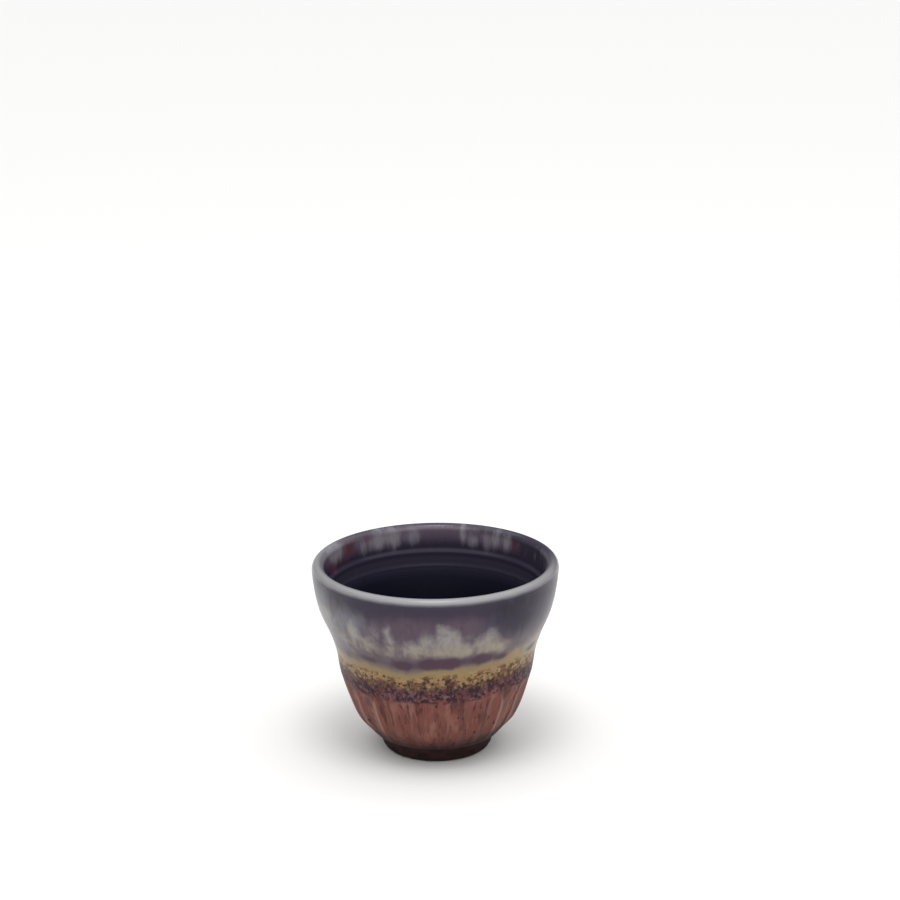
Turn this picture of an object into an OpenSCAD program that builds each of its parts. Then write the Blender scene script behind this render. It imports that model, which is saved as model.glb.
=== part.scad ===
// Handleless coffee cup: a fluted stoneware bowl on a short foot ring,
// with each coat of its glaze as a separate shell on the clay.
// Millimetres and degrees. The origin is the centre of the foot on the table, +Z up.
// A lean is the angle of the wall from upright at the place that it is named for.

/* [Lip] */
// Outside diameter at the shoulder of the lip, where the cup is widest
rim_d = 65; // [60:0.5:70]
// Height of the top of the lip above the table
cup_h = 51.7; // [48:0.1:58]
// Thickness of the wall at the shoulder of the lip
lip_t = 3.2; // [2.8:0.1:3.6]
// Height of the rounded lip above its shoulder
lip_round_h = 1.9; // [1.2:0.1:2.4]

/* [Outside of the bowl] */
// Diameter of the waist, under the flared collar
waist_d = 52.2; // [48:0.2:58]
// Height of the waist
waist_h = 25.8; // [23:0.2:29]
// Diameter of the neck, where the bowl meets the foot ring
neck_d = 31.6; // [28:0.2:36]
// Height of the neck
neck_h = 3.4; // [3:0.1:4]

/* [Foot ring] */
// Outside diameter of the foot ring above its rounded edge
foot_d = 29.2; // [27:0.2:31]
// Radius of its rounded outer edge
foot_edge_r = 2.2; // [1.4:0.1:2.4]
// Diameter of the hollow under the foot, at the table
recess_d = 21.2; // [18:0.2:23]
// Depth of the hollow
recess_depth = 1.7; // [1:0.1:2.4]
// How far the hollow narrows towards its top
recess_draft = 0.6; // [0.3:0.1:1]

/* [Inside of the bowl] */
// Thickness of the wall at the waist, measured level
waist_t = 3; // [2.6:0.1:3.6]
// Thickness of the wall at the hip, measured level
hip_t = 4.2; // [3.4:0.1:5]
// Depth of the ledge below the top of the lip
ledge_drop = 6.7; // [6:0.1:8]
// How far the wall draws in from the lip to the ledge
ledge_draw = 0.5; // [0.2:0.1:0.8]
// How far the wall steps in at the ledge
ledge_step = 0.5; // [0.3:0.1:0.7]
// Depth of the throwing ring below the top of the lip
ring_drop = 10.9; // [9.6:0.1:12]
// How far the wall draws in from the ledge to the throwing ring
ring_draw = 0.4; // [0.2:0.1:0.8]
// How far the wall steps in at the throwing ring
ring_step = 0.3; // [0.1:0.05:0.4]
// Height of the floor inside, above the table
floor_h = 5.6; // [5:0.1:6.4]
// Diameter of the flat middle of the floor
floor_d = 14; // [10:0.5:18]

/* [Flutes] */
// Number of flutes round the bowl
flute_count = 24; // [20:1:28]
// Turn of the ridges between them about the axis, in degrees
flute_turn = 3; // [0:1:15]
// Depth of a flute at the hip, where it is deepest
flute_depth = 0.75; // [0.4:0.05:1]
// Radius of the round tool that hollows a flute
flute_tool_r = 16; // [12:0.5:20]
// Radius of the long arc that the tool swings along
flute_sweep_r = 75; // [60:1:95]
// Length of that swing to either side of the hip
flute_reach = 14.6; // [13.6:0.2:15]

/* [Glaze] */
// Thickness of every coat of glaze
glaze_t = 0.4; // [0.3:0.05:0.5]
// Height where the lower coat stops above the bare foot
glaze_line_h = 4.6; // [4.2:0.1:5]
// Height of the lower edge of the ochre band
ochre_low_h = 25.2; // [24.6:0.2:26]
// Height of the upper edge of the ochre band
ochre_high_h = 31.6; // [30:0.2:33]
// Depth of the pale coat on the lip, below its shoulder
lip_band_h = 0.9; // [0.5:0.1:2]

/* [Hidden] */
$fn = 120;
// Pieces of each stretch of wall between two named places, and of the rounded lip and foot edge
wall_steps = 4;
lip_steps = 10;
foot_steps = 5;
// Length by which a cutting shape runs past what it cuts
overrun = 2;
// Height of a step in the wall, as a share of how far it steps
step_slope_share = 1.2;
// Length of a wall curve's handle, as a share of its chord
handle_share = 1 / 3;
// Where the hip and the belly lie on the way from the neck to the waist, as shares of its width and height
hip_share = [0.563, 0.321];
belly_share = [0.816, 0.607];
// Where the collar flares fastest, on the way from the waist to the shoulder of the lip
flare_share = [0.555, 0.45];
// Lean of the outside at each of those places
neck_lean = 31;
hip_lean = 28;
belly_lean = 18;
waist_lean = 7;
flare_lean = 25;
rim_lean = 5;
// Lean of the inside at the floor, the hip, the waist and the throwing ring
floor_lean = 90;
inner_hip_lean = 42;
inner_waist_lean = 12;
ring_lean = 20;

shoulder_h = cup_h - lip_round_h;
rim_low_h = shoulder_h - lip_band_h;
foot_flat_d = foot_d - 2 * foot_edge_r;

// Points of the half section, as [radius, height]
neck = [neck_d / 2, neck_h];
waist = [waist_d / 2, waist_h];
shoulder = [rim_d / 2, shoulder_h];
hip = between(neck, waist, hip_share);
belly = between(neck, waist, belly_share);
flare = between(waist, shoulder, flare_share);
lip_inner = shoulder - [lip_t, 0];
ledge = [lip_inner[0] - ledge_draw, cup_h - ledge_drop];
under_ledge = ledge - ledge_step * [1, step_slope_share];
ring = [under_ledge[0] - ring_draw, cup_h - ring_drop];
under_ring = ring - ring_step * [1, step_slope_share];

function between(p, q, shares) = [p[0] + (q[0] - p[0]) * shares[0], p[1] + (q[1] - p[1]) * shares[1]];

// A place on the wall: its point in the half section, and the way that the wall leaves it
function place(point, lean) = [point, [sin(lean), cos(lean)]];

// The point at share t of the smooth curve from one place to the next
function curve_point(p, q, t) =
    let (handle = norm(q[0] - p[0]) * handle_share, b = p[0] + handle * p[1], c = q[0] - handle * q[1])
    pow(1 - t, 3) * p[0] + 3 * pow(1 - t, 2) * t * b + 3 * (1 - t) * t * t * c + pow(t, 3) * q[0];

// The points of a wall that runs through a list of places
function wall(places) = [
    places[0][0],
    for (i = [1:len(places) - 1], j = [1:wall_steps]) curve_point(places[i - 1], places[i], j / wall_steps)
];

function turned(path) = [for (i = [len(path) - 1:-1:0]) path[i]];
function unit(v) = v / norm(v);

// The unit normal on the right of each point of a path, and the path moved to its left by a thickness
function side(p, q) = let (w = unit(q - p)) [w[1], -w[0]];
function moved(path, by) = [
    for (i = [0:len(path) - 1])
        let (
            last = len(path) - 1,
            before = side(path[max(i - 1, 0)], path[max(i, 1)]),
            after = side(path[min(i, last - 1)], path[min(i + 1, last)]),
            mitre = unit(before + after)
        )
        path[i] - by * mitre / (mitre * after)
];

// The finished surface, as one path: up the outside, over the lip and down the inside to the axis
outside = wall([
    place(neck, neck_lean),
    place(hip, hip_lean),
    place(belly, belly_lean),
    place(waist, waist_lean),
    place(flare, flare_lean),
    place(shoulder, rim_lean)
]);
lip = [
    for (i = [1:lip_steps - 1])
        let (a = 180 * i / lip_steps)
        shoulder + [lip_t / 2 * (cos(a) - 1), lip_round_h * sin(a)]
];
inside = [
    [0, floor_h],
    each wall([
        place([floor_d / 2, floor_h], floor_lean),
        place(hip - [hip_t, 0], inner_hip_lean),
        place(waist - [waist_t, 0], inner_waist_lean),
        place(under_ring, ring_lean)
    ]),
    ring,
    under_ledge,
    ledge,
    lip_inner
];
skin = concat(outside, lip, turned(inside));
clay = moved(skin, glaze_t);

// The same path cut to the outside, and to the inside
function outer(path) = [for (i = [0:len(outside) - 1]) path[i]];
function inner(path) = [for (i = [len(outside) + len(lip):len(path) - 1]) path[i]];

foot_edge = [
    for (i = [0:foot_steps])
        let (a = 90 * (i / foot_steps - 1))
        [foot_flat_d / 2 + foot_edge_r * cos(a), foot_edge_r * (1 + sin(a))]
];
recess = [
    [0, recess_depth],
    [recess_d / 2 - recess_draft, recess_depth],
    [recess_d / 2, 0]
];

// The tool that cuts the flutes: a round bar swung on a long arc in an upright plane of the axis.
// It bites flute_depth deep at the hip, and lifts clear of the wall above and below.
module flute_tools(extra) {
    out = [cos(hip_lean), -sin(hip_lean)];
    centre = hip + out * (flute_tool_r - flute_depth - flute_sweep_r);
    swing = flute_reach / flute_sweep_r * 180 / PI;
    for (i = [0:flute_count - 1])
        rotate([0, 0, flute_turn + (i + 1 / 2) * 360 / flute_count])
            translate([centre[0], 0, centre[1]])
                rotate([90, 0, 0])
                    rotate([0, 0, -hip_lean - swing])
                        rotate_extrude(angle = 2 * swing)
                            translate([flute_sweep_r, 0])
                                circle(r = flute_tool_r + extra);
}

// The half section between two heights
module slab(low, high) {
    intersection() {
        children();
        translate([0, low])
            square([rim_d, high - low]);
    }
}

// The bowl up to one of its outer surfaces, between two heights, with its flutes
module fluted_bowl(path, low, high, extra) {
    difference() {
        rotate_extrude()
            slab(low, high)
                polygon(concat([[0, neck_h]], path, [[0, shoulder_h]]));
        flute_tools(extra);
    }
}

// A coat of glaze between two heights: from the finished surface down to the clay under it
module coat(finished, under, low, high) {
    rotate_extrude()
        slab(low, high)
            polygon(concat(finished, turned(under)));
}

module clay_body() {
    color("#3a2825")
        difference() {
            rotate_extrude()
                polygon(concat(recess, foot_edge, clay));
            flute_tools(glaze_t);
        }
}

module lower_glaze() {
    color("#764e45")
        difference() {
            fluted_bowl(outer(skin), glaze_line_h, ochre_low_h, 0);
            fluted_bowl(outer(clay), glaze_line_h - overrun, ochre_low_h + overrun, glaze_t);
        }
}

module ochre_glaze() {
    color("#94805c")
        coat(outer(skin), outer(clay), ochre_low_h, ochre_high_h);
}

module upper_glaze() {
    color("#5a505c")
        coat(outer(skin), outer(clay), ochre_high_h, rim_low_h);
}

module rim_glaze() {
    color("#b5b5b8")
        coat(skin, clay, rim_low_h, cup_h + overrun);
}

module inner_glaze() {
    color("#2a2735")
        coat(inner(skin), inner(clay), 0, rim_low_h);
}

clay_body();
lower_glaze();
ochre_glaze();
upper_glaze();
rim_glaze();
inner_glaze();
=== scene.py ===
# Looks of the handleless coffee cup: each coat of glaze is its own turned shell on the clay.
import bisect
import math
import random

import bpy
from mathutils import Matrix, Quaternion, Vector, noise
from mathutils.geometry import interpolate_bezier


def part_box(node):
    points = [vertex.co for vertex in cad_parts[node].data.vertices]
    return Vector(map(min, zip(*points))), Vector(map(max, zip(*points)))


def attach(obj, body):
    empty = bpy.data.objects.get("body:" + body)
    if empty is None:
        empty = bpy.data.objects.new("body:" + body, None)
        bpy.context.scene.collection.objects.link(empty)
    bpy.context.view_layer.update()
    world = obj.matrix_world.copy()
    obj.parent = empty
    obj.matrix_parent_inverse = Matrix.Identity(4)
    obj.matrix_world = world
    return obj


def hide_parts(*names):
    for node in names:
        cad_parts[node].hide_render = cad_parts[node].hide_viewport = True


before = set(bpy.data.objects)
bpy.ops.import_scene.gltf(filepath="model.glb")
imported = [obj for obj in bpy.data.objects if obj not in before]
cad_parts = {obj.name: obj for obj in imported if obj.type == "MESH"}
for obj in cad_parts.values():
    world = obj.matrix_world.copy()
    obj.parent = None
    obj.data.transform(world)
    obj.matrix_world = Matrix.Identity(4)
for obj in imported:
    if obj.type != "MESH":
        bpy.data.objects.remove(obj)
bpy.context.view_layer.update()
mm = 0.001
print("frame loaded:", ", ".join(sorted(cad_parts)))

# Heights and radii that the coats share, taken from the frame
cup = {
    "rimRadius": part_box("rim_glaze")[1].x,
    "height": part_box("rim_glaze")[1].z,
    "rimLow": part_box("rim_glaze")[0].z,
    "ochreHigh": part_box("ochre_glaze")[1].z,
    "ochreLow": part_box("ochre_glaze")[0].z,
    "glazeLine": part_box("lower_glaze")[0].z,
    "glaze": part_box("rim_glaze")[1].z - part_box("clay_body")[1].z,
}

# Outside of the wall: places as (radius, height, lean from upright in degrees)
wallShape = {
    "neck": (15.8 * mm, 3.4 * mm, 31),
    "hip": (21.6 * mm, 10.6 * mm, 28),
    "belly": (24.2 * mm, 17.0 * mm, 18),
    "waist": (26.1 * mm, 25.8 * mm, 7),
    "flare": (29.65 * mm, 36.6 * mm, 25),
    "shoulderDrop": 1.9 * mm,
    "shoulderLean": 5,
    "lipThickness": 3.2 * mm,
}

# Inside of the bowl, with its two soft steps under the lip as (height, step out going up)
bowlShape = {
    "floorEdge": (7.0 * mm, 5.6 * mm, 90),
    "hip": (17.4 * mm, 10.6 * mm, 42),
    "waist": (23.1 * mm, 25.8 * mm, 12),
    "underRing": (27.6 * mm, 40.2 * mm, 17),
    "steps": ((40.8 * mm, 0.24 * mm), (44.7 * mm, 0.5 * mm)),
    "stepHeight": 1.3 * mm,
    "stepBead": 0.05 * mm,
    "stepsReachDown": 0.5 * mm,
    # throwing rings in the floor: their spacing, their height, and over how many points they fade in
    "floorRings": 2.1 * mm,
    "floorRelief": 0.07 * mm,
    "floorFade": 10,
}

footShape = {
    "radius": 14.6 * mm,
    "edge": 2.2 * mm,
    "recessRadius": 10.6 * mm,
    "recessEdge": 0.5 * mm,
    "recessDraft": 0.6 * mm,
    "recessDepth": 1.7 * mm,
    # turning marks: their spacing and depth, how much closer they lie low on the side, above which height
    # they start, how far below the recess they go by radius, and how far inside the ring they end
    "toolMarks": 0.9 * mm,
    "toolDepth": 0.035 * mm,
    "marksOnSide": 1.4,
    "marksFrom": 0.4 * mm,
    "marksLevel": 0.1 * mm,
    "marksClear": 1 * mm,
}

# How finely the pieces are meshed
mesh = {
    # gaps between the rings of a piece, on what shows and on what lies hidden between two coats
    "shownGap": 0.3 * mm,
    "insideGap": 0.55 * mm,
    "stepGap": 0.18 * mm,
    "hiddenGap": 1.0 * mm,
    # faces round the cup
    "around": 480,
    "aroundInside": 320,
    "aroundClay": 320,
    # points along the curves that the half section starts from
    "wallPoints": 60,
    "lipPoints": 60,
    "ledgePoints": 120,
    "floorPoints": 40,
    "recessPoints": 30,
    "edgePoints": 6,
    # vertices this near to each other are merged, and this near to the axis they stay put
    "mergeGap": 0.001 * mm,
    "axisGap": 0.01 * mm,
    "smoothTo": 55,  # faces that meet at up to this many degrees are shaded smooth
}
farBelow, farAbove = -1.0, 1.0  # heights past both ends of the cup


# Rises smoothly from 0 to 1 between two values
def ease(value, low, high):
    share = min(1.0, max(0.0, (value - low) / (high - low)))
    return share * share * (3 - 2 * share)


def leanWay(place):
    return Vector((math.sin(math.radians(place[2])), math.cos(math.radians(place[2]))))


# A smooth line through leaning places, as (radius, height) points
def lineThrough(places):
    line = [Vector(places[0][:2])]
    for first, last in zip(places, places[1:]):
        start, end = Vector(first[:2]), Vector(last[:2])
        reach = (end - start).length / 3
        handles = start + reach * leanWay(first), end - reach * leanWay(last)
        line += interpolate_bezier(start, *handles, end, mesh["wallPoints"])[1:]
    return line


# The same line with its points an even gap apart
def evenly(line, gap):
    along = [0.0]
    for first, last in zip(line, line[1:]):
        along.append(along[-1] + (last - first).length)
    count = max(2, round(along[-1] / gap))
    points, index = [], 0
    for step in range(count + 1):
        goal = along[-1] * step / count
        while index < len(line) - 2 and along[index + 1] < goal:
            index += 1
        span = along[index + 1] - along[index]
        points.append(line[index].lerp(line[index + 1], (goal - along[index]) / span))
    return points


# The line moved to its left, which is into the clay
def moved(line, depth):
    points = []
    for index, point in enumerate(line):
        along = (line[min(index + 1, len(line) - 1)] - line[max(index - 1, 0)]).normalized()
        points.append(point + depth * Vector((-along.y, along.x)))
    return points


# The stretch of a line between two heights, ending exactly on them
def between(line, low, high):
    points = []
    for first, last in zip(line, line[1:]):
        rise = last.y - first.y
        if abs(rise) < 1e-12:
            start, end = (0.0, 1.0) if low <= first.y <= high else (0.0, 0.0)
        else:
            start, end = sorted(((low - first.y) / rise, (high - first.y) / rise))
        start, end = max(0.0, start), min(1.0, end)
        if end > start:
            if not points:
                points.append(first.lerp(last, start))
            points.append(first.lerp(last, end))
    return points


# The rounded top of the lip, from its shoulder over to the inside
def lipLine(shoulder):
    half = wallShape["lipThickness"] / 2
    line = []
    for step in range(1, mesh["lipPoints"]):
        turn = math.pi * step / mesh["lipPoints"]
        radius = shoulder[0] - half * (1 - math.cos(turn))
        height = shoulder[1] + wallShape["shoulderDrop"] * math.sin(turn)
        line.append(Vector((radius, height)))
    return line


# Down the inside from the lip, over the two soft steps
def ledgeLine(shoulder):
    radiusBelow, heightBelow = bowlShape["underRing"][:2]
    tall = shoulder[1] - heightBelow
    out = shoulder[0] - wallShape["lipThickness"] - radiusBelow
    slope = (out - sum(step for height, step in bowlShape["steps"])) / tall
    half = bowlShape["stepHeight"] / 2
    line = []
    for step in range(mesh["ledgePoints"]):
        height = heightBelow + tall * (1 - step / mesh["ledgePoints"])
        radius = radiusBelow + slope * (height - heightBelow)
        for middle, stepOut in bowlShape["steps"]:
            radius += stepOut * ease(height, middle - half, middle + half)
            radius -= bowlShape["stepBead"] * math.exp(-(((height - middle + half) / half) ** 2))
        line.append(Vector((radius, height)))
    return line


# The floor from its edge to the axis, with faint throwing rings
def floorLine(edge):
    line = []
    for step in range(1, mesh["floorPoints"] + 1):
        radius = edge.x * (1 - step / mesh["floorPoints"])
        ripple = bowlShape["floorRelief"] * math.cos(math.tau * radius / bowlShape["floorRings"])
        line.append(Vector((radius, edge.y + ripple * ease(step, 0, bowlShape["floorFade"]))))
    return line


# The finished surface in half section: up the outside, over the lip, down the inside to the axis
def finishedLine():
    shoulder = (cup["rimRadius"], cup["height"] - wallShape["shoulderDrop"], wallShape["shoulderLean"])
    wall = [wallShape[name] for name in ("neck", "hip", "belly", "waist", "flare")]
    bowl = lineThrough([bowlShape[name] for name in ("floorEdge", "hip", "waist", "underRing")])
    line = lineThrough(wall + [shoulder]) + lipLine(shoulder) + ledgeLine(shoulder)
    return evenly(line + bowl[::-1] + floorLine(bowl[0]), mesh["stepGap"])


skin = finishedLine()
clayLine = moved(skin, cup["glaze"])
skin[-1].x = clayLine[-1].x = 0.0
crest = max(range(len(skin)), key=lambda index: skin[index].y)
crestMargin = 10  # points short of the crest, where the wall turns over
outsideHeights = [point.y for point in skin[: crest - crestMargin]]
print("half section has", len(skin), "points")


# Half way through the wall at a height, which tells the outside of a piece from its inside
def wallMiddle(height):
    height = min(max(height, outsideHeights[0]), outsideHeights[-1])
    index = min(max(bisect.bisect(outsideHeights, height), 1), len(outsideHeights) - 1)
    low, high = skin[index - 1], skin[index]
    radius = low.x + (high.x - low.x) * (height - low.y) / (high.y - low.y)
    return radius - wallShape["lipThickness"] / 2


# Spins a half section about the axis of the cup into a closed mesh
def turnSection(name, section, around, closed):
    bpy.ops.object.select_all(action="DESELECT")
    bpy.ops.mesh.primitive_circle_add(vertices=len(section), radius=cup["rimRadius"], fill_type="NOTHING")
    piece = bpy.context.object
    piece.name = piece.data.name = name
    for vertex, point in zip(piece.data.vertices, section):
        vertex.co = (point.x, 0, point.y)
    bpy.ops.object.mode_set(mode="EDIT")
    bpy.ops.mesh.select_mode(type="EDGE")
    if not closed:  # the ends stand on the axis, so the edge between them goes
        bpy.ops.mesh.select_all(action="DESELECT")
        bpy.ops.object.mode_set(mode="OBJECT")
        for edge in piece.data.edges:
            edge.select = set(edge.vertices) == {0, len(section) - 1}
        bpy.ops.object.mode_set(mode="EDIT")
        bpy.ops.mesh.delete(type="EDGE")
    bpy.ops.object.mode_set(mode="OBJECT")
    bpy.ops.object.modifier_add(type="SCREW")
    turn = piece.modifiers[-1]
    turn.angle = math.tau
    turn.steps = turn.render_steps = around
    turn.use_merge_vertices = True
    turn.merge_threshold = mesh["mergeGap"]
    bpy.ops.object.modifier_apply(modifier=turn.name)
    bpy.ops.object.mode_set(mode="EDIT")
    bpy.ops.mesh.select_all(action="SELECT")
    bpy.ops.mesh.remove_doubles(threshold=mesh["mergeGap"])
    bpy.ops.mesh.normals_make_consistent(inside=False)
    bpy.ops.object.mode_set(mode="OBJECT")
    return piece


# Flutes cut by hand round the lower bowl, angles in degrees from the front
flutes = {
    "count": 24,
    # where the ridges between them lie in front; the others follow evenly round the back
    "frontRidges": (-57.5, -41.5, -27.3, -13, 1.2, 15.4, 29.7, 44, 58.5),
    "depth": 0.66 * mm,
    "rounding": 0.14,
    "archTop": 21.6 * mm,
    "clearAbove": 2 * mm,
    "runOut": (4.6 * mm, 8.5 * mm),
    # how far the hand strays, in degrees and in size
    "unevenTurn": 0.9,
    "unevenTop": 0.6 * mm,
    "unevenDepth": 0.08 * mm,
    "seed": 24,
    # how pale the glaze breaks on the ridges in front, between which angles that grows to full as painted
    # sheen towards the sides, and heights
    "frontPale": 0.12,
    "sideSheenFrom": (26, 42),
    "paleHeights": (7.5 * mm, 11 * mm),
    # how far that reaches into a flute, beyond it and up its arch, as shares of its depth and half width
    "paleInto": 0.5,
    "paleBeyond": 0.6,
    "paleUp": 0.6,
}
hand = random.Random(flutes["seed"])
ridges = list(flutes["frontRidges"])
more = flutes["count"] - len(ridges)
pitch = (ridges[0] + 360 - ridges[-1]) / (more + 1)
for k in range(1, more + 1):
    even = flutes["frontRidges"][-1] + pitch * k
    ridges.append(even + hand.uniform(-1, 1) * flutes["unevenTurn"])
ridges.append(ridges[0] + 360)
archTops = [flutes["archTop"] + hand.uniform(-1, 1) * flutes["unevenTop"] for k in ridges]
depths = [flutes["depth"] + hand.uniform(-1, 1) * flutes["unevenDepth"] for k in ridges]


# How pale a ridge is at an angle from the front: its pale glaze break, with painted sheen growing towards
# the sides
def ridgeBreakAndSheen(angle):
    away = abs((angle + 180) % 360 - 180)
    return flutes["frontPale"] + (1 - flutes["frontPale"]) * ease(away, *flutes["sideSheenFrom"])


# Depth of the flutes at a place, and how near the place is to the edge of one, weighted by how pale that
# ridge is there, painted sheen included
def fluteAt(angle, height, radius):
    if height > flutes["archTop"] + flutes["clearAbove"] or height < flutes["runOut"][0]:
        return 0.0, 0.0
    angle = (angle - ridges[0]) % 360 + ridges[0]
    index = min(bisect.bisect(ridges, angle), len(ridges) - 1) - 1
    width = ridges[index + 1] - ridges[index]
    half = radius * math.radians(width) / 2
    across = 2 * (angle - ridges[index]) / width - 1
    rise = max(0.0, height - archTops[index] + half) / half
    hollow = 1 - across * across - rise * rise
    runOut = ease(height, *flutes["runOut"])
    edge = 1 - ease(abs(hollow), 0, flutes["paleInto"] if hollow > 0 else flutes["paleBeyond"])
    edge *= ease(height, *flutes["paleHeights"]) * ridgeBreakAndSheen(angle) * (1 - ease(rise, 0, flutes["paleUp"]))
    # the glaze rounds the ridges off
    hollow = max(0.0, hollow)
    hollow *= hollow * (1 + flutes["rounding"]) / (hollow + flutes["rounding"])
    return depths[index] * hollow * runOut, edge


# Where the glazes ran: angles in degrees from the front, heights in mm
glazeFlow = {
    "rise": (2.6, 50, 21),  # the ochre band climbs on the right: by how much, where, how wide
    "lowerShare": 0.4,  # how much of that its lower edge climbs
    "waves": ((0.35, 2, 40), (0.3, 5, 10), (0.25, 9, 75)),  # size in mm, count round the cup, turn
    # milky runs in the violet: angle, height, half width in degrees, half height, strength
    "milk": (
        (-50, 37, 9, 5, 0.45),
        (-43, 40.6, 3.6, 3, 0.7),
        (-36, 37.6, 5, 2.6, 0.7),
        (-30, 41.5, 4, 2.6, 0.3),
        (-23, 41.2, 2.3, 2.8, 0.95),
        (-25, 35.6, 7, 1.7, 0.5),
        (-18, 38, 4, 2.2, 0.35),
        (-10.5, 37.2, 5, 2.4, 0.9),
        (-4, 40.4, 4.5, 2.6, 0.6),
        (2.5, 43.8, 2.6, 1.8, 0.8),
        (7.5, 40.8, 5.5, 2.6, 1.0),
        (3, 37, 7, 2.2, 0.85),
        (13.5, 36.8, 4, 2.2, 0.85),
        (20, 38, 4, 2.4, 0.6),
        (27, 39.4, 4, 3.4, 0.95),
        (33, 36.4, 6, 2.2, 0.75),
        (4, 38.2, 34, 3.4, 0.16),
        (62, 33, 17, 3, 0.75),
    ),
    # grey mist, where the violet thinned
    "mist": ((-70, 41, 20, 9, 0.9), (-42, 43, 12, 4, 0.6), (84, 40, 18, 8, 0.5)),
    # plum blushes in the slate violet
    "plum": ((-12, 44, 20, 3.6, 0.85), (14, 43.5, 9, 4, 0.8), (-32, 40.5, 7, 3, 0.7), (-3, 37, 60, 4, 0.9)),
    # deep slate, where it lies thickest
    "slate": ((42, 44, 16, 5.5, 1.0), (42, 48.5, 16, 2.4, 0.6)),
    # violet pools on the upper edge of the ochre band
    "pools": (
        (-39, 32.4, 8, 1.2, 0.7),
        (-18, 32.2, 7.5, 1.7, 1.0),
        (-5, 32.9, 4.5, 1.8, 0.95),
        (6, 33.1, 9, 2, 1.2),
        (25, 33.6, 7.5, 1.9, 1.0),
        (37.5, 33, 5, 1.1, 0.7),
    ),
    # pale streaks, maroon blushes and dusky stretches on the inside, under the lip
    "streaks": (
        (165, 49.6, 1.8, 2.6, 1.3),
        (159, 48, 3.4, 2.2, 0.8),
        (151, 48.4, 3.2, 2.6, 0.8),
        (145, 49, 3.2, 2.8, 1.0),
        (138, 48.8, 2.8, 2.4, 1.1),
        (114, 48.6, 1.8, 2, 0.5),
        (-168, 48.8, 4.4, 2.6, 0.7),
        (-157, 49.2, 4.6, 2.8, 1.1),
        (-148, 48.8, 5, 3, 1.1),
        (-138, 48.4, 4, 2.6, 0.7),
        (-114, 49.8, 9, 2.6, 1.3),
    ),
    "maroon": (
        (-126, 48.8, 5.5, 2.6, 1.1),
        (-141, 50, 4, 1.4, 0.6),
        (-110, 46.4, 8, 1.8, 0.8),
        (133, 48.6, 3, 2.4, 0.6),
    ),
    "dusk": (
        (116, 48.5, 16, 4, 1.1),
        (176, 46, 9, 1.3, 0.5),
        (-92, 47, 10, 3, 0.7),
        (144, 51, 17, 1.3, 1.1),
        (-146, 51, 15, 1.1, 0.9),
    ),
    # the rest of the way round: count, first and last angle, heights, half widths, half heights, strengths
    "elsewhere": {
        "milk": (26, (86, 300), (35.8, 41.5), (3, 7.5), (2, 3.6), (0.5, 1)),
        "mist": (4, (105, 285), (38, 42), (12, 20), (5, 9), (0.4, 0.7)),
        "plum": (7, (70, 310), (36, 44), (9, 18), (3, 4.5), (0.6, 1)),
        "slate": (4, (110, 290), (42, 46), (10, 16), (3, 5), (0.5, 1)),
        "pools": (11, (60, 310), (30.8, 32), (4, 8), (1.1, 1.8), (0.4, 1)),
        "streaks": (14, (-95, 92), (47.8, 49.4), (1.6, 5.5), (1.6, 3), (0.1, 1.1)),
        "maroon": (5, (-90, 80), (46.4, 49), (4, 9), (1.8, 2.6), (0.5, 1)),
        "dusk": (4, (-80, 88), (46, 49), (7, 14), (2, 4), (0.5, 1)),
    },
    "seed": 61,
    "jitter": 0.45,  # how far each of them strays from an even spacing
    "reach": 2.5,  # a spot is left out beyond this many of its half widths
    # the lip is palest at this angle, fades between these two to either side, and stays this pale behind;
    # that paleness is thin pale glaze together with a painted highlight
    "paleAndHighlightMiddle": -18,
    "paleAndHighlightFade": (80, 126),
    "paleAndHighlightBehind": 0.04,
}
hand = random.Random(glazeFlow["seed"])
for kind, (count, (first, last), *ranges) in glazeFlow["elsewhere"].items():
    gap = (last - first) / count
    for k in range(count):
        angle = first + gap * (k + 0.5 + hand.uniform(-1, 1) * glazeFlow["jitter"])
        glazeFlow[kind] += ((angle, *(hand.uniform(*limits) for limits in ranges)),)


# How far the glazes ran higher or lower at an angle, in mm
def flowAt(angle):
    size, middle, width = glazeFlow["rise"]
    turn = (angle - middle + 180) % 360 - 180
    flow = size * math.exp(-((turn / width) ** 2))
    for size, count, turn in glazeFlow["waves"]:
        flow += size * math.sin(math.radians(count * angle + turn))
    return flow


# How pale the lip is at an angle: glaze thinned to pale, together with a painted highlight; most in front,
# hardly at all behind
def paleGlazeAndHighlightAt(angle):
    away = abs((angle - glazeFlow["paleAndHighlightMiddle"] + 180) % 360 - 180)
    return 1 - (1 - glazeFlow["paleAndHighlightBehind"]) * ease(away, *glazeFlow["paleAndHighlightFade"])


# The spots that reach a line up the wall, each as (height, half height, strength there)
def spotsNear(spots, angle):
    near = []
    for middle, level, width, tall, strength in spots:
        turn = ((angle - middle + 180) % 360 - 180) / width
        if abs(turn) < glazeFlow["reach"]:
            near.append((level, tall, strength * math.exp(-turn * turn)))
    return near


# How much of those spots lies at a height of the line, up to 1
def spotsAt(near, height):
    total = 0.0
    for level, tall, strength in near:
        total += strength * math.exp(-(((height / mm - level) / tall) ** 2))
    return min(1.0, total)


# Keeps a value for each vertex, as attributes that the material of the piece reads
def keepNotes(piece, notes):
    for name, values in notes.items():
        piece.data.attributes.new(name, "FLOAT", "POINT").data.foreach_set("value", values)


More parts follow.
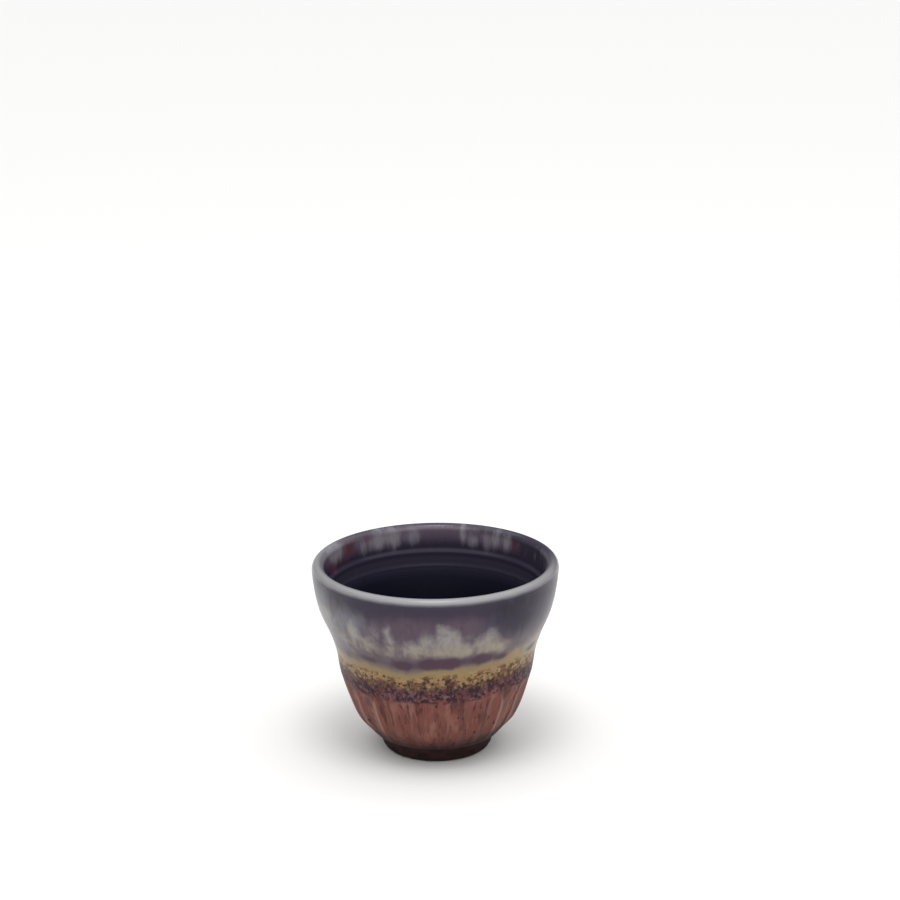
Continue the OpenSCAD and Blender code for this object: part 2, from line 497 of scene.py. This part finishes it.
# Notes how much of each kind of spot lies at the vertices of a piece
def noteSpots(piece, kinds):
    data = piece.data
    notes = {kind: [0.0] * len(data.vertices) for kind in kinds}
    lines = {}  # the spots near a line up the wall, by its angle
    for vertex in data.vertices:
        x, y, height = vertex.co
        angle = math.degrees(math.atan2(x, -y))
        key = round(angle, 2)
        if key not in lines:
            lines[key] = {kind: spotsNear(glazeFlow[kind], angle) for kind in kinds}
        for kind, near in lines[key].items():
            notes[kind][vertex.index] = spotsAt(near, height)
    keepNotes(piece, notes)
    return notes


# Slight unevenness of the thrown wall and of the melted glaze
handmade = {
    "broad": 0.06 * mm,
    "broadSize": 11 * mm,
    "runs": 0.05 * mm,
    "lipFade": 3 * mm,  # it fades out over this far up to the top of the lip
    "middleBlend": 0.2 * mm,  # and over this far to each side of the middle of the wall
}


# Moves the outside of a piece to its flutes and hand-made relief, and notes where each glaze ran
def shapeOutside(piece):
    data = piece.data
    milk = noteSpots(piece, ("milk", "mist", "plum", "slate", "pools"))["milk"]
    notes = {name: [0.0] * len(data.vertices) for name in ("flow", "pale", "edge")}
    lines = {}  # what is the same all the way up the wall, by angle
    for vertex in data.vertices:
        x, y, height = vertex.co
        radius = math.hypot(x, y)
        if radius < mesh["axisGap"]:
            continue
        angle = math.degrees(math.atan2(x, -y))
        key = round(angle, 2)
        if key not in lines:
            lines[key] = flowAt(angle), paleGlazeAndHighlightAt(angle)
        flow, pale = lines[key]
        middle, blend = wallMiddle(height), handmade["middleBlend"]
        outer = ease(radius, middle - blend, middle + blend)
        depth, edge = fluteAt(angle, height, radius)
        relief = 0.0
        if height > cup["glazeLine"]:
            relief = handmade["broad"] * noise.noise(vertex.co / handmade["broadSize"])
            relief += handmade["runs"] * milk[vertex.index]
        relief *= ease(cup["height"] - height, 0, handmade["lipFade"])
        grown = 1 + outer * (relief - depth) / radius
        vertex.co = (x * grown, y * grown, height)
        notes["flow"][vertex.index] = flow
        # the lip's paleness: pale thin glaze with a painted highlight
        notes["pale"][vertex.index] = pale
        # how pale the ridge edges are, painted sheen towards the sides included
        notes["edge"][vertex.index] = edge
    keepNotes(piece, notes)


# Smooths a piece, gives it its material and says which solid it stands for
def finishPiece(piece, node, material):
    bpy.ops.object.select_all(action="DESELECT")
    piece.select_set(True)
    bpy.context.view_layer.objects.active = piece
    bpy.ops.object.shade_smooth_by_angle(angle=math.radians(mesh["smoothTo"]))
    piece.data.materials.append(material)
    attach(piece, "root")
    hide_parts(node)
    print(piece.name, "stands for", node, "with", len(piece.data.polygons), "faces")


# Small helpers that build the nodes of the materials
def feed(tree, socket, value):
    if isinstance(value, bpy.types.NodeSocket):
        tree.links.new(value, socket)
    else:
        socket.default_value = value


def linear(hexColour):
    channels = [int(hexColour[k : k + 2], 16) / 255 for k in (1, 3, 5)]
    return [c / 12.92 if c <= 0.04045 else ((c + 0.055) / 1.055) ** 2.4 for c in channels] + [1.0]


def sums(tree, operation, first, second=0.0, third=0.0):
    node = tree.nodes.new("ShaderNodeMath")
    node.operation = operation
    for socket, value in zip(node.inputs, (first, second, third)):
        feed(tree, socket, value)
    return node.outputs[0]


def easeNode(tree, value, low, high):
    node = tree.nodes.new("ShaderNodeMapRange")
    node.interpolation_type = "SMOOTHSTEP"
    feed(tree, node.inputs["Value"], value)
    feed(tree, node.inputs["From Min"], low)
    feed(tree, node.inputs["From Max"], high)
    return node.outputs["Result"]


def mixColours(tree, share, first, second, kind="MIX"):
    node = tree.nodes.new("ShaderNodeMix")
    node.data_type = "RGBA"
    node.blend_type = kind
    feed(tree, node.inputs[0], share)
    feed(tree, node.inputs[6], linear(first) if isinstance(first, str) else first)
    feed(tree, node.inputs[7], linear(second) if isinstance(second, str) else second)
    return node.outputs[2]


def mixValues(tree, share, first, second):
    return sums(tree, "MULTIPLY_ADD", share, sums(tree, "SUBTRACT", second, first), first)


def note(tree, name):
    node = tree.nodes.new("ShaderNodeAttribute")
    node.attribute_name = name
    return node.outputs["Fac"]


# Colours by height in mm, from the table up
def layers(tree, level, stops):
    node = tree.nodes.new("ShaderNodeValToRGB")
    low, high = stops[0][0], stops[-1][0]
    while len(node.color_ramp.elements) < len(stops):
        node.color_ramp.elements.new(0.5)
    for element, (height, colour) in zip(node.color_ramp.elements, stops):
        element.position = (height - low) / (high - low)
        element.color = linear(colour)
    scaled = sums(tree, "DIVIDE", sums(tree, "SUBTRACT", level, low), high - low)
    feed(tree, node.inputs["Fac"], scaled)
    return node.outputs["Color"]


# Noise about zero with its grain in mm, across the wall and up it
def grain(tree, place, across, tall, detail=2.0, shift=0.0, twist=0.0):
    mapping = tree.nodes.new("ShaderNodeMapping")
    feed(tree, mapping.inputs["Vector"], place)
    mapping.inputs["Scale"].default_value = (1 / across, 1 / across, 1 / tall)
    mapping.inputs["Location"].default_value = (shift, shift * 0.7, shift * 1.3)
    texture = tree.nodes.new("ShaderNodeTexNoise")
    feed(tree, texture.inputs["Vector"], mapping.outputs["Vector"])
    texture.inputs["Scale"].default_value = 1.0
    texture.inputs["Detail"].default_value = detail
    texture.inputs["Distortion"].default_value = twist
    return sums(tree, "SUBTRACT", texture.outputs["Fac"], 0.5)


# Adds a share of a noise to a value
def sway(tree, value, noiseValue, size):
    return sums(tree, "MULTIPLY_ADD", noiseValue, size, value)


# Adds shares of several noises to a value, by their names
def swayAll(tree, value, noises, shares):
    for name, size in shares.items():
        value = sway(tree, value, noises[name], size)
    return value


# Lays a colour over another by a pattern, from where the pattern starts to where it is full
def strew(tree, under, over, pattern, limits, share):
    amount = sums(tree, "MULTIPLY", easeNode(tree, pattern, *limits), share)
    return mixColours(tree, amount, under, over)


spotFade = (0.02, 0.35)  # amounts of a spot where its colour starts and where it is full


# Lays a colour over another where a kind of spot lies, the edge of the spots broken up by a noise
def blot(tree, under, over, spots, noiseValue, limits, share):
    cover = sums(tree, "MULTIPLY", easeNode(tree, spots, *spotFade), share)
    return strew(tree, under, over, sums(tree, "ADD", spots, noiseValue), limits, cover)


# 1 between the two middle heights, fading to 0 at the outer two
def zone(tree, level, heights):
    low, fullLow, fullHigh, high = heights
    above, below = easeNode(tree, level, low, fullLow), easeNode(tree, level, high, fullHigh)
    return sums(tree, "MULTIPLY", above, below)


# Position on the piece in mm, whole and split into its coordinates
def placeInMm(tree):
    coordinates = tree.nodes.new("ShaderNodeTexCoord")
    scale = tree.nodes.new("ShaderNodeVectorMath")
    scale.operation = "SCALE"
    feed(tree, scale.inputs[0], coordinates.outputs["Object"])
    scale.inputs["Scale"].default_value = 1 / mm
    split = tree.nodes.new("ShaderNodeSeparateXYZ")
    feed(tree, split.inputs[0], scale.outputs[0])
    return scale.outputs[0], split.outputs


drumRadius = 26.0  # in mm, about that of the waist


# The same position pushed out on to a drum of an even radius, so that runs follow the wall down,
# and its distance from the axis
def placeOnDrum(tree, split):
    flat = tree.nodes.new("ShaderNodeCombineXYZ")
    feed(tree, flat.inputs["X"], split["X"])
    feed(tree, flat.inputs["Y"], split["Y"])
    length = tree.nodes.new("ShaderNodeVectorMath")
    length.operation = "LENGTH"
    feed(tree, length.inputs[0], flat.outputs[0])
    push = sums(tree, "DIVIDE", drumRadius, length.outputs["Value"])
    drum = tree.nodes.new("ShaderNodeCombineXYZ")
    feed(tree, drum.inputs["X"], sums(tree, "MULTIPLY", split["X"], push))
    feed(tree, drum.inputs["Y"], sums(tree, "MULTIPLY", split["Y"], push))
    feed(tree, drum.inputs["Z"], split["Z"])
    return drum.outputs[0], length.outputs["Value"]


outsideColours = {
    "lower": (
        (0, "#2a1a1a"),
        (4.5, "#2c1a1a"),
        (5.5, "#3a2322"),
        (6.8, "#52312d"),
        (8.4, "#693f37"),
        (11, "#76483f"),
        (16, "#76473f"),
        (20.4, "#7a4a44"),
        (21.4, "#693f40"),
        (24.4, "#593639"),
        (25.6, "#654638"),
        (26.4, "#90734e"),
        (29, "#987e56"),
    ),
    "upper": (
        (28.4, "#987e56"),
        (30.2, "#89765b"),
        (31.2, "#6f6157"),
        (32.4, "#5b4d53"),
        (34, "#5f545b"),
        (38, "#534956"),
        (43, "#453d4e"),
        (46, "#342c3e"),
        (49, "#332c3d"),
        (52, "#302a3a"),
    ),
    "plum": "#5b4956",
    "mist": "#86868a",
    "slate": "#241e31",
    "cream": "#a89e88",
    "milk": "#a09d98",
    "pool": "#462c3e",
    # pale ridges: thin glaze on the edges, with painted sheen towards the sides
    "ridge": "#a5857e",
    # the pale lip: thin glaze, with a painted highlight
    "lip": "#949497",
}

# Flecks and runs laid one over the other: colour, grain across and up the wall in mm, from where its noise
# starts to where it is full, how much it covers, and the heights between which it fades in and out again
lowerFlecks = (
    ("#8c6156", (4, 11), (0.0, 0.16), 0.65, (6.5, 10.5, 21, 24)),
    ("#4e2c28", (2.4, 9), (0.0, 0.14), 0.75, (5, 8, 21, 24)),
    ("#45221e", (0.8, 7), (0.04, 0.18), 0.6, (6, 9, 20, 23)),
    ("#96695e", (0.9, 6), (0.05, 0.2), 0.35, (8, 11, 20, 23)),
    ("#231113", (1, 2), (0.17, 0.22), 0.9, (7, 10, 21, 23)),
    ("#281a26", (2.2, 1.7), (-0.04, 0.06), 0.85, (20.2, 21.8, 24.4, 27)),
    ("#2c1a22", (0.9, 0.9), (0.02, 0.1), 0.75, (20.4, 22, 25.4, 27)),
    ("#7f656b", (0.8, 1), (0.06, 0.15), 0.5, (20.5, 22, 25, 26.5)),
    ("#a68c60", (1.8, 1.4), (0.02, 0.12), 0.7, (24.4, 26, 29.5, 31)),
    ("#5c3a28", (1.7, 1.4), (-0.03, 0.07), 0.8, (24.4, 25.8, 28.2, 30.6)),
    ("#331a15", (0.9, 0.9), (0.04, 0.11), 0.85, (24.4, 25.6, 27.4, 30)),
)
upperFlecks = (
    ("#5d5264", (3, 6), (0.02, 0.2), 0.15, (42, 46, 50, 53)),
    ("#32263a", (2, 5), (0.03, 0.2), 0.3, (31, 34, 45, 48)),
)


# Noises that break the glazes up: grain across and up the wall in mm, then detail, shift and twist
outsideGrains = {
    "fine": (0.7, 4),
    "drift": (5, 12, 2, 3.1),
    "crumb": (0.9, 1, 3, 7.7),
    "wisp": (2, 5.5, 3, 11.3, 0.4),
    "clump": (3.4, 2.6, 2, 37.0),
    "curd": (1.8, 2.4, 3, 29.0, 0.4),
}
outsideLook = {
    # how far the noises push the layers up and down, in mm
    "lowerSway": {"crumb": 6.0, "wisp": 4.0},
    "upperSway": {"drift": 3.0, "wisp": 1.6},
    # heights in mm between which the upper layers take over, and between which the glaze turns glossy
    "meet": (28.4, 29.4),
    "glossy": (21, 31),
    # where the noise of the flecks starts, how far on each next one takes it, and how they clump
    "fleckShift": 20.0,
    "fleckStep": 7.3,
    "clumping": 0.3,
    # ridges and spots: from where the pattern starts to where it is full, and how much it covers
    "ridge": ((0, 1), 0.6),
    "plum": ((0.1, 1), 0.85),
    "mist": ((0.1, 1), 0.7),
    "slate": ((0.1, 1), 0.9),
    "milk": ((-0.05, 1.25), 0.76),
    "pools": ((0.2, 0.8), 0.9),
    # how much the noises break up the spots, and the milky runs
    "blur": {"wisp": 0.6},
    "milkBreaks": {"fine": 0.2, "curd": 1.3, "wisp": 0.8},
    # heights in mm between which the milky runs turn from cream to white
    "whiter": (34, 41),
    # roughness of the glossy glaze, what the dull glaze adds, and how uneven it is
    "rough": 0.3,
    "roughDull": 0.2,
    "roughUneven": 0.3,
    # gloss of the dull glaze, and what the glossy glaze adds
    "shine": 0.15,
    "shineGlossy": 0.15,
    # relief: the share of the crumbs, what is left of it on the glossy glaze, its depth and strength
    "reliefCrumb": 0.7,
    "reliefGlossy": 0.1,
    "relief": (0.12 * mm, 0.45),
}


# Colour, roughness, gloss and relief of the outside, the same on every coat so that they melt together
def outsideGlaze(tree, place, height):
    look, colours = outsideLook, outsideColours
    noises = {name: grain(tree, place, *size) for name, size in outsideGrains.items()}
    flow = note(tree, "flow")
    level = sums(tree, "SUBTRACT", height, flow)
    lowLevel = sway(tree, height, flow, -glazeFlow["lowerShare"])
    softLevel = swayAll(tree, level, noises, look["upperSway"])
    lower = layers(tree, swayAll(tree, lowLevel, noises, look["lowerSway"]), colours["lower"])
    upper = layers(tree, softLevel, colours["upper"])
    shift = look["fleckShift"]
    for colour, size, limits, share, heights in lowerFlecks:
        shift += look["fleckStep"]
        cover = sums(tree, "MULTIPLY", zone(tree, lowLevel, heights), share)
        pattern = sway(tree, grain(tree, place, *size, shift=shift), noises["clump"], look["clumping"])
        lower = strew(tree, lower, colour, pattern, limits, cover)
    # glaze breaks pale over the ridges of the flutes, and painted sheen makes them paler towards the sides
    lower = strew(tree, lower, colours["ridge"], note(tree, "edge"), *look["ridge"])
    # plum blushes, grey mist and slate in the violet
    blur = swayAll(tree, 0.0, noises, look["blur"])
    for kind in ("plum", "mist", "slate"):
        upper = blot(tree, upper, colours[kind], note(tree, kind), blur, *look[kind])
    for colour, size, limits, share, heights in upperFlecks:
        shift += look["fleckStep"]
        cover = sums(tree, "MULTIPLY", zone(tree, level, heights), share)
        upper = strew(tree, upper, colour, grain(tree, place, *size, shift=shift), limits, cover)
    # milky runs, creamier towards the ochre, and violet pools on its edge
    milkColour = mixColours(tree, easeNode(tree, level, *look["whiter"]), colours["cream"], colours["milk"])
    broken = swayAll(tree, 0.0, noises, look["milkBreaks"])
    upper = blot(tree, upper, milkColour, note(tree, "milk"), broken, *look["milk"])
    upper = blot(tree, upper, colours["pool"], note(tree, "pools"), blur, *look["pools"])
    colour = mixColours(tree, easeNode(tree, softLevel, *look["meet"]), lower, upper)
    gloss = easeNode(tree, softLevel, *look["glossy"])
    dull = sums(tree, "SUBTRACT", 1, gloss)
    crumbs = sums(tree, "MULTIPLY", noises["crumb"], dull)
    roughness = sway(tree, sway(tree, look["rough"], dull, look["roughDull"]), crumbs, look["roughUneven"])
    shine = sway(tree, look["shine"], gloss, look["shineGlossy"])
    bumps = sway(tree, noises["fine"], noises["crumb"], look["reliefCrumb"])
    relief = sums(tree, "MULTIPLY", bumps, sway(tree, look["reliefGlossy"], dull, 1))
    return colour, roughness, shine, relief


insideColours = {
    "layers": (
        (5, "#0e0e1a"),
        (34, "#10101c"),
        (37.5, "#161624"),
        (39.5, "#232230"),
        # the lighter band from 41.4 to 42.8 mm is a painted soft highlight above the lower step
        (41.4, "#363341"),
        (42.8, "#383544"),
        (43.6, "#302c3b"),
        (44.8, "#332e3d"),
        (46, "#342e3d"),
        (47, "#453c4c"),
        (48.4, "#5b4e60"),
        (49.6, "#655968"),
        (50.8, "#6e6472"),
        (51.5, "#363040"),
    ),
    "dusk": "#363140",
    "maroon": "#5c3844",
    "streaks": "#9a949d",
}


insideGrains = {"fine": (0.6, 5, 2, 5.0), "wisp": (2.4, 6, 3, 17.0)}
insideLook = {
    "sway": {"fine": 0.7},
    # spots, from the lowest up: where the pattern starts and is full, how much it covers, what breaks it up
    "dusk": ((0.1, 0.9), 0.9, {"wisp": 1.2}),
    "maroon": ((0.1, 0.85), 0.85, {"wisp": 1.2}),
    "streaks": ((0.05, 1.15), 0.72, {"wisp": 1.2, "fine": 0.5}),
    "rough": 0.2,
    "roughUneven": 0.1,
    "shine": 0.15,
    "relief": (0.05 * mm, 0.3),
}


# Colour, roughness, gloss and relief of the inside
def insideGlaze(tree, place, height):
    look = insideLook
    noises = {name: grain(tree, place, *size) for name, size in insideGrains.items()}
    colour = layers(tree, swayAll(tree, height, noises, look["sway"]), insideColours["layers"])
    for kind in ("dusk", "maroon", "streaks"):
        limits, share, breaks = look[kind]
        broken = swayAll(tree, 0.0, noises, breaks)
        colour = blot(tree, colour, insideColours[kind], note(tree, kind), broken, limits, share)
    roughness = sway(tree, look["rough"], noises["fine"], look["roughUneven"])
    return colour, roughness, look["shine"], noises["fine"]


def newMaterial(name, preview):
    material = bpy.data.materials.new(name)
    material.use_nodes = True
    material.diffuse_color = linear(preview)
    shader = material.node_tree.nodes["Principled BSDF"]
    return material, material.node_tree, shader


def addRelief(tree, shader, relief, depth, strength):
    bump = tree.nodes.new("ShaderNodeBump")
    bump.inputs["Strength"].default_value = strength
    bump.inputs["Distance"].default_value = depth
    feed(tree, bump.inputs["Height"], relief)
    feed(tree, shader.inputs["Normal"], bump.outputs["Normal"])


glassIor = 1.45


# Gives a glaze its colour, roughness and gloss
def addGlass(tree, shader, colour, roughness, shine):
    feed(tree, shader.inputs["Base Color"], colour)
    feed(tree, shader.inputs["Roughness"], roughness)
    feed(tree, shader.inputs["Specular IOR Level"], shine)
    shader.inputs["IOR"].default_value = glassIor


def outsideMaterial(name, preview):
    material, tree, shader = newMaterial(name, preview)
    place, split = placeInMm(tree)
    drum = placeOnDrum(tree, split)[0]
    colour, roughness, shine, relief = outsideGlaze(tree, drum, split["Z"])
    addGlass(tree, shader, colour, roughness, shine)
    addRelief(tree, shader, relief, *outsideLook["relief"])
    return material


def insideMaterial(name, preview):
    material, tree, shader = newMaterial(name, preview)
    place, split = placeInMm(tree)
    colour, roughness, shine, relief = insideGlaze(tree, place, split["Z"])
    addGlass(tree, shader, colour, roughness, shine)
    addRelief(tree, shader, relief, *insideLook["relief"])
    return material


# The lip; radii are in mm from the middle of the lip, and heights in mm below its top
rimLook = {
    "blend": 0.6,
    "grain": (3, 2, 2, 13.0),
    "uneven": 0.25,
    # how much paler it is, from thin glaze and a painted highlight, between these heights, and from the
    # crest outwards
    "pale": 0.9,
    "paleHeights": (1.9, 0.7),
    "paleRadii": (-1.0, 0.4),
    "paleInside": 0.45,
    # where its own gloss takes over, and its roughness and gloss there, with what the pale adds
    "crestHeights": (2.6, 1.2),
    "rough": 0.2,
    "roughPale": 0.12,
    "shine": 0.4,
    "shinePale": 0.35,
    "relief": (0.05 * mm, 0.15),
}


# The lip: pale where the glaze thins over the edge, with a painted highlight laid into that pale, melting
# into the coats on both sides
def rimMaterial(name, preview):
    look = rimLook
    material, tree, shader = newMaterial(name, preview)
    place, split = placeInMm(tree)
    drum, radius = placeOnDrum(tree, split)
    outColour, outRough, outShine, outRelief = outsideGlaze(tree, drum, split["Z"])
    inColour, inRough, inShine = insideGlaze(tree, place, split["Z"])[:3]
    top = cup["height"] / mm
    middle = (cup["rimRadius"] - wallShape["lipThickness"] / 2) / mm
    outer = easeNode(tree, radius, middle - look["blend"], middle + look["blend"])
    colour = mixColours(tree, outer, inColour, outColour)
    uneven = sway(tree, split["Z"], grain(tree, place, *look["grain"]), look["uneven"])
    upwards = easeNode(tree, uneven, *(top - drop for drop in look["paleHeights"]))
    thinGlazeAndHighlight = sums(tree, "MULTIPLY", upwards, note(tree, "pale"))
    outwards = easeNode(tree, radius, *(middle + away for away in look["paleRadii"]))
    thinGlazeAndHighlight = sums(tree, "MULTIPLY", thinGlazeAndHighlight, sway(tree, look["paleInside"], outwards, 1 - look["paleInside"]))
    # pale thin glaze over the lip, with a painted highlight, strongest in front
    colour = mixColours(tree, sums(tree, "MULTIPLY", thinGlazeAndHighlight, look["pale"]), colour, outsideColours["lip"])
    # the lip is glossiest, and takes over the gloss of the coats on both sides further down
    crestShare = easeNode(tree, split["Z"], *(top - drop for drop in look["crestHeights"]))
    crestRough = sway(tree, look["rough"], thinGlazeAndHighlight, look["roughPale"])
    crestShine = sway(tree, look["shine"], thinGlazeAndHighlight, look["shinePale"])
    roughness = mixValues(tree, crestShare, mixValues(tree, outer, inRough, outRough), crestRough)
    shine = mixValues(tree, crestShare, mixValues(tree, outer, inShine, outShine), crestShine)
    addGlass(tree, shader, colour, roughness, shine)
    addRelief(tree, shader, outRelief, *look["relief"])
    return material


clayLook = {
    "dark": "#241616",
    "light": "#3a2423",
    "grit": "#4c3430",
    "cloudGrain": (3, 3, 5),
    "gritGrain": (0.25, 0.25, 2, 9.0),
    # from where the noise starts to where it is full, and how much it covers
    "clouds": ((-0.2, 0.2), 1.0),
    "specks": ((0.12, 0.2), 0.6),
    "rough": 0.75,
    "roughUneven": 0.2,
    "shine": 0.1,
    "relief": (0.08 * mm, 0.5),
}


def clayMaterial(name, preview):
    look = clayLook
    material, tree, shader = newMaterial(name, preview)
    place = placeInMm(tree)[0]
    cloudy = grain(tree, place, *look["cloudGrain"])
    grit = grain(tree, place, *look["gritGrain"])
    colour = strew(tree, look["dark"], look["light"], cloudy, *look["clouds"])
    colour = strew(tree, colour, look["grit"], grit, *look["specks"])
    feed(tree, shader.inputs["Base Color"], colour)
    feed(tree, shader.inputs["Roughness"], sway(tree, look["rough"], cloudy, look["roughUneven"]))
    shader.inputs["Specular IOR Level"].default_value = look["shine"]
    addRelief(tree, shader, grit, *look["relief"])
    return material


# The foot in half section: out along the recess, round both edges of the ring and up to the wall
def footLine():
    shape = footShape
    flat = shape["recessRadius"] - shape["recessDraft"]
    inner = shape["recessRadius"] + shape["recessEdge"]
    outer = shape["radius"] - shape["edge"]
    turns = [math.pi / 2 * step / mesh["edgePoints"] for step in range(mesh["edgePoints"] + 1)]
    line = []
    for step in range(mesh["recessPoints"] + 1):
        line.append(Vector((flat * step / mesh["recessPoints"], shape["recessDepth"])))
    for turn in turns:
        height = shape["recessEdge"] * (1 - math.sin(turn))
        line.append(Vector((inner - shape["recessEdge"] * math.cos(turn), height)))
    for turn in turns:
        height = shape["edge"] * (1 - math.cos(turn))
        line.append(Vector((outer + shape["edge"] * math.sin(turn), height)))
    line = evenly(line + [clayLine[0]], mesh["shownGap"])
    # turning marks, on the recess by radius, and low on the side by height
    for point in line[1:-1]:
        if point.y > shape["marksFrom"]:
            low = point.y <= shape["recessDepth"] - shape["marksLevel"]
            away = point.y * shape["marksOnSide"] if low else point.x
            mark = shape["toolDepth"] * math.sin(math.tau * away / shape["toolMarks"])
            if point.x < inner - shape["marksClear"]:
                point.y += mark
            elif point.x > outer:
                point.x += mark
    return line


# The clay: the foot, and the wall bare up to the glaze and hidden under it
def makeClay():
    neck = evenly(between(clayLine[:crest], farBelow, cup["glazeLine"]), mesh["shownGap"])
    hidden = between(clayLine[:crest], cup["glazeLine"], farAbove) + clayLine[crest:]
    section = footLine()[:-1] + neck[:-1] + evenly(hidden, mesh["hiddenGap"])
    section[0].x = section[-1].x = 0.0
    piece = turnSection("stonewareBody", section, mesh["aroundClay"], closed=False)
    shapeOutside(piece)
    finishPiece(piece, "clay_body", clayMaterial("bareDarkClay", "#2a1d1a"))


# The free edge of the rust coat: how far up it rolls over, its bead in shares of the glaze, and how near
# to the clay it ends
rolledEdge = {"reach": 0.9 * mm, "bead": 0.12, "beadAt": 1.2, "beadNarrow": 3, "tuck": 0.98}


# A coat on the outside between two heights, its lower edge rolled over where it is free
def outsideSection(low, high, rolled=False):
    face = evenly(between(skin[: crest + 1], low, high), mesh["shownGap"])
    back = evenly(between(clayLine[: crest + 1], low, high), mesh["hiddenGap"])
    if rolled:
        edge = rolledEdge
        for point in face:
            rise = (point.y - low) / edge["reach"]
            thick = math.sqrt(max(0.0, 1 - (1 - min(1.0, rise)) ** 2))
            thick += edge["bead"] * math.exp(-((rise - edge["beadAt"]) ** 2) * edge["beadNarrow"])
            point.x -= (1 - thick) * cup["glaze"] * edge["tuck"]
    return face + back[::-1]


def makeLowerGlaze():
    section = outsideSection(cup["glazeLine"], cup["ochreLow"], rolled=True)
    piece = turnSection("rustGlazeCoat", section, mesh["around"], closed=True)
    shapeOutside(piece)
    finishPiece(piece, "lower_glaze", outsideMaterial("rustGlaze", "#764e45"))


def makeOchreGlaze():
    section = outsideSection(cup["ochreLow"], cup["ochreHigh"])
    piece = turnSection("ochreGlazeBand", section, mesh["around"], closed=True)
    shapeOutside(piece)
    finishPiece(piece, "ochre_glaze", outsideMaterial("ochreGlaze", "#94805c"))


def makeUpperGlaze():
    section = outsideSection(cup["ochreHigh"], cup["rimLow"])
    piece = turnSection("violetGlazeCoat", section, mesh["around"], closed=True)
    shapeOutside(piece)
    finishPiece(piece, "upper_glaze", outsideMaterial("violetGlaze", "#5a505c"))


def makeRimGlaze():
    face = between(skin, cup["rimLow"], farAbove)
    back = evenly(between(clayLine, cup["rimLow"], farAbove), mesh["shownGap"])
    # the lip's coat: pale thin glaze with a painted highlight
    piece = turnSection("lipGlazeAndHighlight", face + back[::-1], mesh["around"], closed=True)
    noteSpots(piece, ("dusk", "maroon", "streaks"))
    shapeOutside(piece)
    finishPiece(piece, "rim_glaze", rimMaterial("lipPaleAndHighlight", "#b5b5b8"))


# The liner, meshed finely over the two steps and less so below them
def makeInnerGlaze():
    underSteps = bowlShape["underRing"][1] - bowlShape["stepsReachDown"]
    steps = between(skin[crest:], underSteps, cup["rimLow"])
    bowl = evenly(between(skin[crest:], farBelow, underSteps), mesh["insideGap"])
    back = evenly(between(clayLine[crest:], farBelow, cup["rimLow"]), mesh["hiddenGap"])
    section = (steps[:-1] + bowl)[::-1] + back
    section[0].x = section[-1].x = 0.0
    piece = turnSection("innerGlazeLiner", section, mesh["aroundInside"], closed=False)
    noteSpots(piece, ("dusk", "maroon", "streaks"))
    finishPiece(piece, "inner_glaze", insideMaterial("blackVioletLiner", "#2a2735"))


makeClay()
makeLowerGlaze()
makeOchreGlaze()
makeUpperGlaze()
makeRimGlaze()
makeInnerGlaze()


# Plain pale floor under soft light
studio = {
    "floorSize": 8.0,
    "floorColour": "#f2f2f1",
    "floorRoughness": 0.9,
    "worldColour": "#ffffff",
    "worldStrength": 0.15,
    # broad light from overhead: tilt from straight down to front and right, spread, strength
    "overhead": (10, 2, 110, 3.0),
    # softboxes: place, size, watts
    "softboxes": (((0.0, -0.2, 0.8), 0.3, 1.6),),
}


def makeStudio():
    bpy.ops.object.select_all(action="DESELECT")
    bpy.ops.mesh.primitive_plane_add(size=studio["floorSize"])
    floor = bpy.context.object
    floor.name = "paleFloor"
    material, tree, shader = newMaterial("palePaper", studio["floorColour"])
    shader.inputs["Base Color"].default_value = linear(studio["floorColour"])
    shader.inputs["Roughness"].default_value = studio["floorRoughness"]
    floor.data.materials.append(material)
    world = bpy.data.worlds.new("softWhite")
    world.use_nodes = True
    background = world.node_tree.nodes["Background"]
    background.inputs["Color"].default_value = linear(studio["worldColour"])
    background.inputs["Strength"].default_value = studio["worldStrength"]
    bpy.context.scene.world = world
    tiltFront, tiltRight, spread, strength = studio["overhead"]
    bpy.ops.object.light_add(type="SUN", rotation=(math.radians(tiltFront), math.radians(tiltRight), 0))
    sun = bpy.context.object
    sun.data.angle = math.radians(spread)
    sun.data.energy = strength
    for place, size, watts in studio["softboxes"]:
        bpy.ops.object.light_add(type="AREA", location=place)
        light = bpy.context.object
        light.data.shape = "DISK"
        light.data.size = size
        light.data.energy = watts
        aim = Vector((0, 0, cup["height"] / 2)) - Vector(place)
        light.rotation_euler = aim.to_track_quat("-Z", "Y").to_euler()
    bpy.context.scene.view_settings.view_transform = "Standard"
    print("studio ready")


makeStudio()

# Camera where the photograph's stood, in pixels of a 900 pixel square frame
cameraSetup = {
    "distance": 0.7,
    "elevation": 20.9,
    "lens": 105.1,
    "sensor": 36.0,
    "clipStart": 0.01,
    "picture": 900,
    "cupMiddleAt": (436.2, 651.6),
    "roll": 0.625,
}


def makeCamera():
    setup = cameraSetup
    bpy.ops.object.camera_add()
    camera = bpy.context.object
    camera.data.lens = setup["lens"]
    camera.data.sensor_width = setup["sensor"]
    camera.data.clip_start = setup["clipStart"]
    rise = math.radians(setup["elevation"])
    middle = Vector((0, 0, cup["height"] / 2))
    camera.location = middle + setup["distance"] * Vector((0, -math.cos(rise), math.sin(rise)))
    half = setup["picture"] / 2
    focal = setup["lens"] / setup["sensor"] * setup["picture"]
    seen = Vector((setup["cupMiddleAt"][0] - half, half - setup["cupMiddleAt"][1], -focal)).normalized()
    aim = (middle - camera.location).to_track_quat("-Z", "Y")
    tilt = Quaternion((0, 0, 1), math.radians(-setup["roll"]))
    camera.rotation_euler = (aim @ tilt @ seen.rotation_difference(Vector((0, 0, -1)))).to_euler()
    bpy.context.scene.camera = camera
    print("camera ready")


makeCamera()
